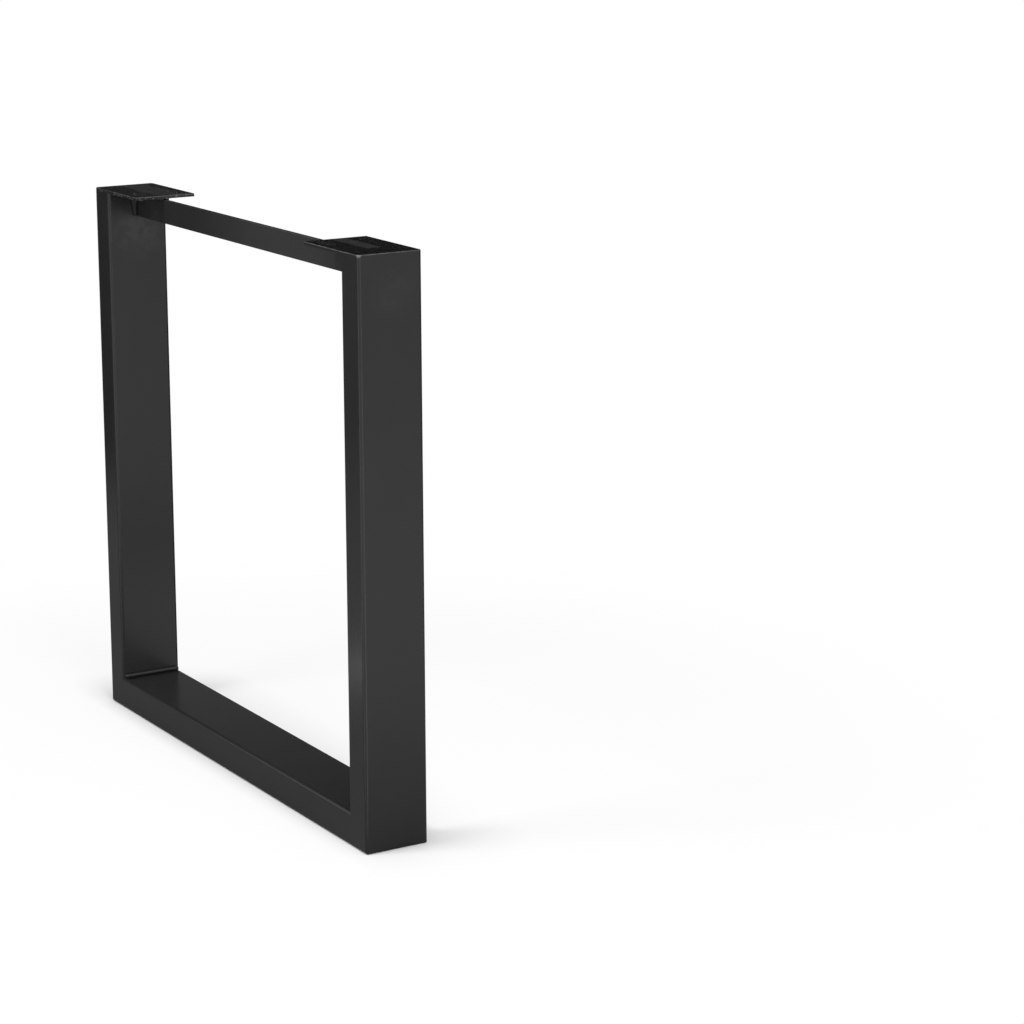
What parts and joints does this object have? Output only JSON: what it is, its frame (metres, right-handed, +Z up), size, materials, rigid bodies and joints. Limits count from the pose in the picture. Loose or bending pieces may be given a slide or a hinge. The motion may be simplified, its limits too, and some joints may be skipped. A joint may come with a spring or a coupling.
{
  "type": "u shaped table leg",
  "caption": "Welded U shaped table leg of rectangular steel tube with a flat top bar and drilled mounting plates, satin black.",
  "frame": {"origin": "middle of the bottom rail's underside, on the floor", "axes": "+X along the leg's width, +Y along its depth, +Z up towards the table top"},
  "size_m": [0.7, 0.08, 0.684],
  "materials": {
    "coated_tube": "satin black powder coat",
    "coated_bar": "satin black powder coat",
    "coated_plate": "satin black powder coat",
    "coated_weld": "satin black powder coat over weld beads"
  },
  "bodies": {
    "root": {"upright_left": "coated_tube", "upright_right": "coated_tube", "bottom_rail": "coated_tube", "top_bar": "coated_bar", "plate_left": "coated_plate", "plate_right": "coated_plate", "corner_weld_left": "coated_weld", "corner_weld_right": "coated_weld", "bar_welds_left": "coated_weld", "bar_welds_right": "coated_weld", "plate_welds_left": "coated_weld", "plate_welds_right": "coated_weld"}
  },
  "joints": []
}
